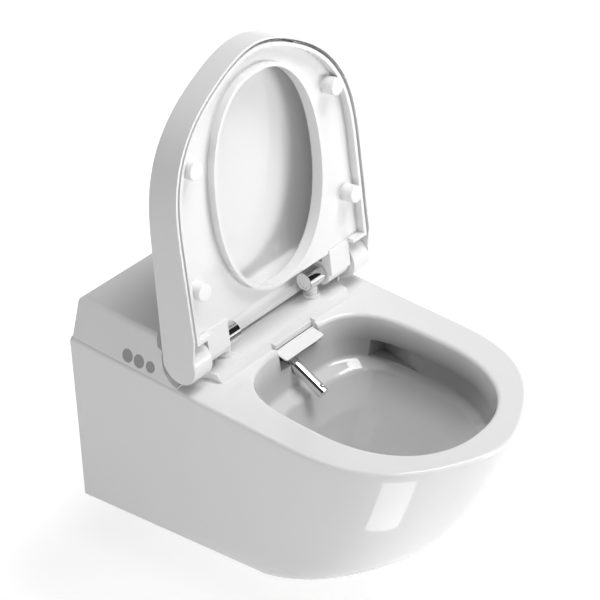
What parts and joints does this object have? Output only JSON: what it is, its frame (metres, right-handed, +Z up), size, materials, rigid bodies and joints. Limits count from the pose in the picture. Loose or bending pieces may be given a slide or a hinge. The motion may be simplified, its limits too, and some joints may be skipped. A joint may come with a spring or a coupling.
{
  "type": "wall-hung toilet with washing unit",
  "caption": "Wall-hung ceramic toilet pan with a raised soft-close lid and seat, a rear housing with side buttons and a sliding spray nozzle under a small shutter.",
  "frame": {"origin": "on the wall face, midway between the centres of the two wall stud holes", "axes": "+X to the right as seen from in front of the pan, +Y into the wall, +Z up"},
  "size_m": [0.3766, 0.601, 0.726],
  "materials": {
    "ceramic": "high gloss white glaze",
    "white_plastic": "gloss white",
    "soft_white": "soft satin white",
    "matt_white": "matt white",
    "cap_plastic": "satin silver white",
    "chrome": "polished chrome plate",
    "steel": "plain stainless steel",
    "brass": "bare brass",
    "grey_plastic": "matt mid grey",
    "grey_button": "satin grey",
    "inner_plastic": "matt off-white moulding",
    "dark_plastic": "matt black",
    "seal_rubber": "matt dark grey",
    "hose": "satin translucent grey",
    "circuit_board": "green board"
  },
  "bodies": {
    "pan": {"ceramic_pan": "ceramic", "flush_inlet_seal": "seal_rubber", "waste_outlet_seal": "seal_rubber", "wall_stud_bushes": "grey_plastic", "deck_gasket": "seal_rubber", "unit_tray": "inner_plastic", "tray_bolts": "steel", "plate_bolts": "steel", "deck_nuts": "steel", "hinge_plate": "white_plastic", "hinge_posts": "white_plastic", "post_nuts": "steel", "hinge_barrels": "chrome", "barrel_caps": "cap_plastic", "damper_cartridges": "grey_plastic", "hinge_pins": "steel", "housing_cover": "white_plastic", "housing_screws": "steel", "button_pads": "seal_rubber", "button_board": "circuit_board", "nozzle_cylinder": "inner_plastic", "flap_pin": "steel", "water_heater": "inner_plastic", "water_pump": "dark_plastic", "inlet_valve": "grey_plastic", "inlet_connector": "brass", "supply_hose": "hose", "pump_hose": "hose", "nozzle_hose": "hose", "mains_gland": "dark_plastic", "power_supply": "dark_plastic", "control_board": "circuit_board"},
    "lid": {"lid_shell": "white_plastic", "lid_buffers": "soft_white"},
    "seat": {"seat_ring": "white_plastic", "seat_bumpers": "soft_white"},
    "nozzle": {"nozzle_tube": "chrome", "nozzle_head": "dark_plastic", "nozzle_collar": "dark_plastic"},
    "flap": {"nozzle_flap": "matt_white"},
    "rear_button": {"button_rear": "grey_button"},
    "middle_button": {"button_middle": "grey_button"},
    "front_button": {"button_front": "grey_button"}
  },
  "joints": [
    {"name": "lid_hinge", "type": "hinge", "parent": "pan", "child": "lid", "pos_m": [0, -0.2, 0.122], "axis": [1, 0, 0], "range_deg": [0, 98]},
    {"name": "seat_hinge", "type": "hinge", "parent": "lid", "child": "seat", "pos_m": [0, -0.2, 0.122], "axis": [-1, 0, 0], "range_deg": [-98, 0]},
    {"name": "nozzle_slide", "type": "slide", "parent": "pan", "child": "nozzle", "axis": [0, -0.9018, -0.4321], "range_m": [-0.078, 0]},
    {"name": "flap_hinge", "type": "hinge", "parent": "pan", "child": "flap", "pos_m": [0, -0.234, 0.0725], "axis": [1, 0, 0], "range_deg": [0, 38]},
    {"name": "rear_button_press", "type": "slide", "parent": "pan", "child": "rear_button", "axis": [1, 0, 0], "range_m": [0, 0.0012], "stiffness_N_per_m": 1500},
    {"name": "middle_button_press", "type": "slide", "parent": "pan", "child": "middle_button", "axis": [1, 0, 0], "range_m": [0, 0.0012], "stiffness_N_per_m": 1500},
    {"name": "front_button_press", "type": "slide", "parent": "pan", "child": "front_button", "axis": [1, 0, 0], "range_m": [0, 0.0012], "stiffness_N_per_m": 1500}
  ]
}
